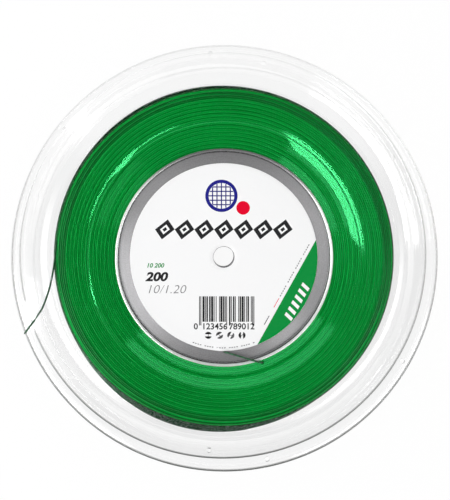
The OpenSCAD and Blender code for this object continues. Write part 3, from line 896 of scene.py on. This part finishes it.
# A plain emblem: a strung racket head in navy with a red ball
HEAD_X, HEAD_Y = -1.5, 38.6
HEAD_IN, HEAD_OUT = 8.1, 10.2
MESH_STEP, MESH_T = 2.8, 0.7
BALL_X, BALL_Y, BALL_R = 12.2, 31.0, 4.3
near, far = (round_run(HEAD_X, HEAD_Y, r, 0, 360, 65) for r in (HEAD_IN, HEAD_OUT))
head = [[near[i], far[i], far[i + 1], near[i + 1]] for i in range(64)]
for i in (-2, -1, 0, 1, 2):
    off = i * MESH_STEP
    length = 2 * math.sqrt(HEAD_IN**2 - (off + math.copysign(MESH_T / 2, i)) ** 2)
    head.append(rectangle(HEAD_X + off, HEAD_Y, MESH_T, length))
    head.append(rectangle(HEAD_X, HEAD_Y + off, length, MESH_T))
print_film("print_navy", ink_material("navy_ink", (0.018, 0.018, 0.24), 0.0), head, joined=True)
ball = round_run(BALL_X, BALL_Y, BALL_R, 0, 360, 33)[:-1]
red_ink = ink_material("red_ink", (0.8, 0.002, 0.028), 0.0)
print_film("print_red", red_ink, [ball, beside_chord(29.2, 6.6, 0.4)])


# ---- Floor, room and lamps -----------------------------------------------------------------------
# A plain pale floor that keeps the reel's soft shadow, and a white room. What the polished flanges and
# the lacquer mirror is a dark ceiling with soft boxes in it and, lower down, pale walls, of which those
# on the left and the right are the brightest.
FLOOR_SHARE = 0.07       # share of the floor's tone that follows the light
AMBIENT = 0.59           # the room's own light
CEILING = 0.015          # the ceiling's tone between the soft boxes, in what is mirrored

bm = bmesh.new()
bmesh.ops.create_grid(bm, x_segments=1, y_segments=1, size=4, matrix=Matrix.Translation((0, 0, -0.05 * MM)))
floor_mesh = bpy.data.meshes.new("floor")
bm.to_mesh(floor_mesh)
bm.free()
floor = bpy.data.objects.new("floor", floor_mesh)
scene.collection.objects.link(floor)
floor_material = bpy.data.materials.new("floor_paper")
floor_material.use_nodes = True
tree = floor_material.node_tree
tree.nodes.clear()
path = add(tree, "ShaderNodeLightPath").outputs
seen = calc(tree, "MAXIMUM", path["Is Camera Ray"], path["Is Glossy Ray"])
seen = calc(tree, "MAXIMUM", seen, path["Is Transmission Ray"])
plain = add(tree, "ShaderNodeBsdfDiffuse", {"Color": (0.8, 0.8, 0.8, 1)})
shaded = add(tree, "ShaderNodeBsdfDiffuse", {"Color": (FLOOR_SHARE, FLOOR_SHARE, FLOOR_SHARE, 1)})
glow = add(tree, "ShaderNodeEmission", {"Color": (1, 1, 1, 1), "Strength": 1 - FLOOR_SHARE})
both = add(tree, "ShaderNodeAddShader", {0: shaded.outputs[0], 1: glow.outputs[0]})
mixed = add(tree, "ShaderNodeMixShader", {0: seen, 1: plain.outputs[0], 2: both.outputs[0]})
add(tree, "ShaderNodeOutputMaterial", {"Surface": mixed.outputs[0]})
floor_mesh.materials.append(floor_material)

world = bpy.data.worlds.new("room")
scene.world = world
world.use_nodes = True
tree = world.node_tree
tree.nodes.clear()

# Directions as degrees off a point near the zenith: how far, and which way round
PIVOT = (2.3, -4.4)      # that point, in degrees east and north of the zenith
toward = add(tree, "ShaderNodeSeparateXYZ", {0: add(tree, "ShaderNodeTexCoord").outputs["Generated"]}).outputs
level = calc(tree, "MULTIPLY_ADD", toward[0], toward[0], calc(tree, "MULTIPLY", toward[1], toward[1]))
level = calc(tree, "MAXIMUM", calc(tree, "SQRT", level), 1e-5)
tilt = calc(tree, "MULTIPLY", calc(tree, "ARCTAN2", level, toward[2]), 180 / math.pi)
stretch = calc(tree, "DIVIDE", tilt, level)
east = calc(tree, "MULTIPLY_ADD", toward[0], stretch, -PIVOT[0])
north = calc(tree, "MULTIPLY_ADD", toward[1], stretch, -PIVOT[1])
off = calc(tree, "MULTIPLY_ADD", east, east, calc(tree, "MULTIPLY", north, north))
off = calc(tree, "SQRT", off)
around = calc(tree, "MULTIPLY", calc(tree, "ARCTAN2", north, east), 180 / math.pi)


def soft_box(light, strength, middle, half, low, high, soft=(2.0, 0.3), spread=0.0, peak=0.0):
    """Adds a soft box to the mirrored light: a sector about the middle angle, between two distances.
    The sector may spread outwards, and its near side may come to a peak."""
    aside = calc(tree, "WRAP", calc(tree, "SUBTRACT", around, middle), -180.0, 180.0)
    aside = calc(tree, "ABSOLUTE", aside)
    reach = calc(tree, "SUBTRACT", aside, calc(tree, "MULTIPLY", calc(tree, "SUBTRACT", off, low), spread))
    depth = calc(tree, "SUBTRACT", off, calc(tree, "MULTIPLY", calc(tree, "MINIMUM", aside, 10.0), peak))
    mask = ramp(tree, reach, half - soft[0], half + soft[0], 1.0, 0.0)
    mask = calc(tree, "MULTIPLY", mask, ramp(tree, depth, low - soft[1], low + soft[1]))
    mask = calc(tree, "MULTIPLY", mask, ramp(tree, off, high - soft[1], high + soft[1], 1.0, 0.0))
    return calc(tree, "MULTIPLY_ADD", mask, strength, light)


light = CEILING
light = soft_box(light, 1.5, -85.5, 53.5, 4.6, 9.2, soft=(1.0, 0.15))               # long box in front
light = soft_box(light, 8.0, 33.5, 23.5, 7.6, 11.6, soft=(1.0, 0.15), spread=1.35)  # box at the right
light = soft_box(light, 9.5, 33.5, 29.0, 12.9, 15.8, soft=(4.0, 0.15))              # its brighter far side
light = soft_box(light, 1.4, 37.0, 23.0, 6.3, 7.4, soft=(1.5, 0.15))                # dim strip before it
light = soft_box(light, 8.5, 137.0, 27.0, 11.5, 16.0, soft=(3.0, 0.3), peak=0.3)    # box at the left
light = soft_box(light, 16.0, 196.5, 3.5, 12.1, 12.9, soft=(1.5, 0.1))              # two small lamps over
light = soft_box(light, 16.0, 190.5, 3.5, 11.6, 12.0, soft=(1.5, 0.1))              # the string's outer end
light = soft_box(light, 0.5, 148.0, 17.0, 5.8, 9.4, soft=(3.0, 0.4))                # dim panel at the left
light = soft_box(light, 1.0, 130.0, 85.0, 11.4, 13.0, soft=(16.0, 0.2))             # ceiling's pale rim
light = soft_box(light, 0.8, -90.0, 60.0, 21.0, 60.0, soft=(20.0, 3.0))             # pale wall in front
light = soft_box(light, 2.2, 155.0, 20.0, 22.0, 26.5, soft=(6.0, 1.0))              # panel on the left
light = soft_box(light, 4.0, 200.0, 32.0, 50.0, 120.0, soft=(20.0, 6.0))            # wall on the left
light = soft_box(light, 4.0, -32.0, 28.0, 62.0, 120.0, soft=(20.0, 6.0))            # wall on the right
light = soft_box(light, 0.5, 90.0, 70.0, 35.0, 300.0, soft=(30.0, 6.0))             # wall at the back

path = add(tree, "ShaderNodeLightPath").outputs
bent = calc(tree, "MAXIMUM", path["Is Glossy Ray"], path["Is Transmission Ray"])
tone = add(tree, "ShaderNodeMix", {0: bent, 2: AMBIENT, 3: light}).outputs[0]
tone = add(tree, "ShaderNodeMix", {0: path["Is Camera Ray"], 2: tone, 3: 1.0}).outputs[0]
sky = add(tree, "ShaderNodeBackground", {"Color": (1, 1, 1, 1), "Strength": tone})
add(tree, "ShaderNodeOutputWorld", {"Surface": sky.outputs[0]})


def lamp(name, azimuth, tilt, width, height, radiance, distance=1.6):
    """A soft rectangular lamp. Its place and size are in degrees as seen from the reel."""
    data = bpy.data.lights.new(name, "AREA")
    data.shape = "RECTANGLE"
    data.size = 2 * distance * math.tan(math.radians(width / 2))
    data.size_y = 2 * distance * math.tan(math.radians(height / 2))
    data.energy = radiance * math.pi * data.size * data.size_y
    obj = bpy.data.objects.new(name, data)
    scene.collection.objects.link(obj)
    a, t = math.radians(azimuth), math.radians(tilt)
    aim = Vector((math.sin(t) * math.cos(a), math.sin(t) * math.sin(a), math.cos(t)))
    facing = aim.to_track_quat("Z", "Y").to_matrix().to_4x4()
    obj.matrix_world = Matrix.Translation(Vector((0, 0, MIDDLE)) + aim * distance) @ facing
    obj.visible_camera = False
    return obj


def lights_only(source, pieces):
    """Keeps a lamp's light off all pieces but these, as a studio's black flags do."""
    lit = bpy.data.collections.new(source.name + "_lights")
    for piece in pieces:
        lit.objects.link(piece)
    source.light_linking.receiver_collection = lit


# The lamp over the reel lights everything and isn't mirrored. Those at its sides are flagged off the
# polished flanges and the hub. Two close ones graze the hub's lacquer alone, for its fans of light.
hub = [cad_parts["hub_drum"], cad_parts["hub_core"]]
flanges = [bpy.data.objects["front_flange_shell"], bpy.data.objects["rear_flange_shell"]]
others = [piece for piece in scene.objects if piece.type == "MESH" and piece not in hub + flanges]
top_lamp = lamp("lamp_top", 140, 30, 22, 22, 3.75)
top_lamp.visible_glossy = False
top_lamp.visible_transmission = False
lights_only(lamp("lamp_left", 195, 46, 24, 34, 4.1), others)
lights_only(lamp("lamp_right", -45, 46, 12, 26, 2.0), others)
for fan in (
    lamp("fan_left", 208, 24, 28, 18, 23.0, distance=0.33),
    lamp("fan_right", -52, 30, 9, 20, 22.0, distance=0.4),
):
    lights_only(fan, hub)
    fan.visible_diffuse = False
